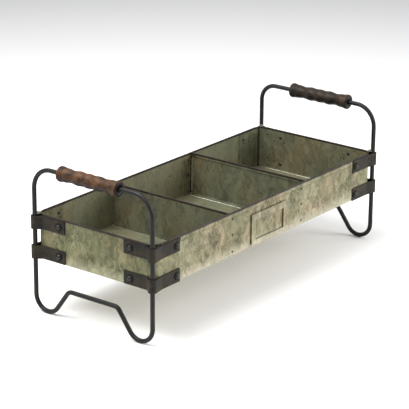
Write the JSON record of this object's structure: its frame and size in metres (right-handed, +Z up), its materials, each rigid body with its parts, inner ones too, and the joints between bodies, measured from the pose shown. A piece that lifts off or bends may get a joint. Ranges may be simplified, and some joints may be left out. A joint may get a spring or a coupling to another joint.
{
  "type": "parts sorting tray",
  "caption": "Open galvanised sheet tray with upright dividers and a label holder, strapped into bent rod end frames that form feet and carrying handles with wooden grips.",
  "frame": {"origin": "under the middle of the tray, on the surface the feet stand on", "axes": "+X along the tray towards its right end, +Y towards its back (the label holder is on the front, -Y), +Z up"},
  "size_m": [0.5358, 0.215, 0.2163],
  "materials": {
    "zinc_pan": "weathered galvanised sheet with a spangled khaki-grey skin and rust-brown folded edges",
    "zinc_end": "weathered galvanised sheet with a spangled khaki-grey skin and rust-brown folded edges",
    "zinc_divider": "weathered galvanised sheet with a spangled khaki-grey skin and rust-brown folded edges",
    "zinc_label": "weathered galvanised sheet",
    "black_rod": "dark charcoal wax over bent round bar, slightly brown",
    "dark_strap": "dark brown-black oxidised flat bar",
    "strap_washer": "near-black oxidised steel",
    "strap_rivet": "dark oxidised steel",
    "small_rivet": "dull tarnished steel",
    "weld": "rough weld metal, dark with paler specks",
    "left_grip_wood": "worn turned hardwood, waxed, warm brown on the bulges and dark in the grooves",
    "right_grip_wood": "worn turned hardwood, waxed, dark brown with a paler band near its front end"
  },
  "bodies": {
    "tray": {"divider_left": "zinc_divider", "divider_right": "zinc_divider", "divider_rivets_left": "small_rivet", "divider_rivets_right": "small_rivet", "end_frame_left": "black_rod", "end_frame_right": "black_rod", "end_panel_left": "zinc_end", "end_panel_right": "zinc_end", "label_holder": "zinc_label", "strap_lower_back_left": "dark_strap", "strap_lower_back_right": "dark_strap", "strap_lower_front_left": "dark_strap", "strap_lower_front_right": "dark_strap", "strap_rivets_back_left": "strap_rivet", "strap_rivets_back_right": "strap_rivet", "strap_rivets_front_left": "strap_rivet", "strap_rivets_front_right": "strap_rivet", "strap_upper_back_left": "dark_strap", "strap_upper_back_right": "dark_strap", "strap_upper_front_left": "dark_strap", "strap_upper_front_right": "dark_strap", "strap_washers_back_left": "strap_washer", "strap_washers_back_right": "strap_washer", "strap_washers_front_left": "strap_washer", "strap_washers_front_right": "strap_washer", "tray_pan": "zinc_pan", "weld_back_left": "weld", "weld_back_right": "weld", "weld_front_left": "weld", "weld_front_right": "weld"},
    "grip_left": {"grip_left": "left_grip_wood"},
    "grip_right": {"grip_right": "right_grip_wood"}
  },
  "joints": [
    {"name": "grip_left_turn", "type": "hinge", "parent": "tray", "child": "grip_left", "pos_m": [-0.2568, 0.0036, 0.2052], "axis": [0, 1, 0], "continuous": true},
    {"name": "grip_right_turn", "type": "hinge", "parent": "tray", "child": "grip_right", "pos_m": [0.2568, -0.0057, 0.2052], "axis": [0, 1, 0], "continuous": true}
  ]
}
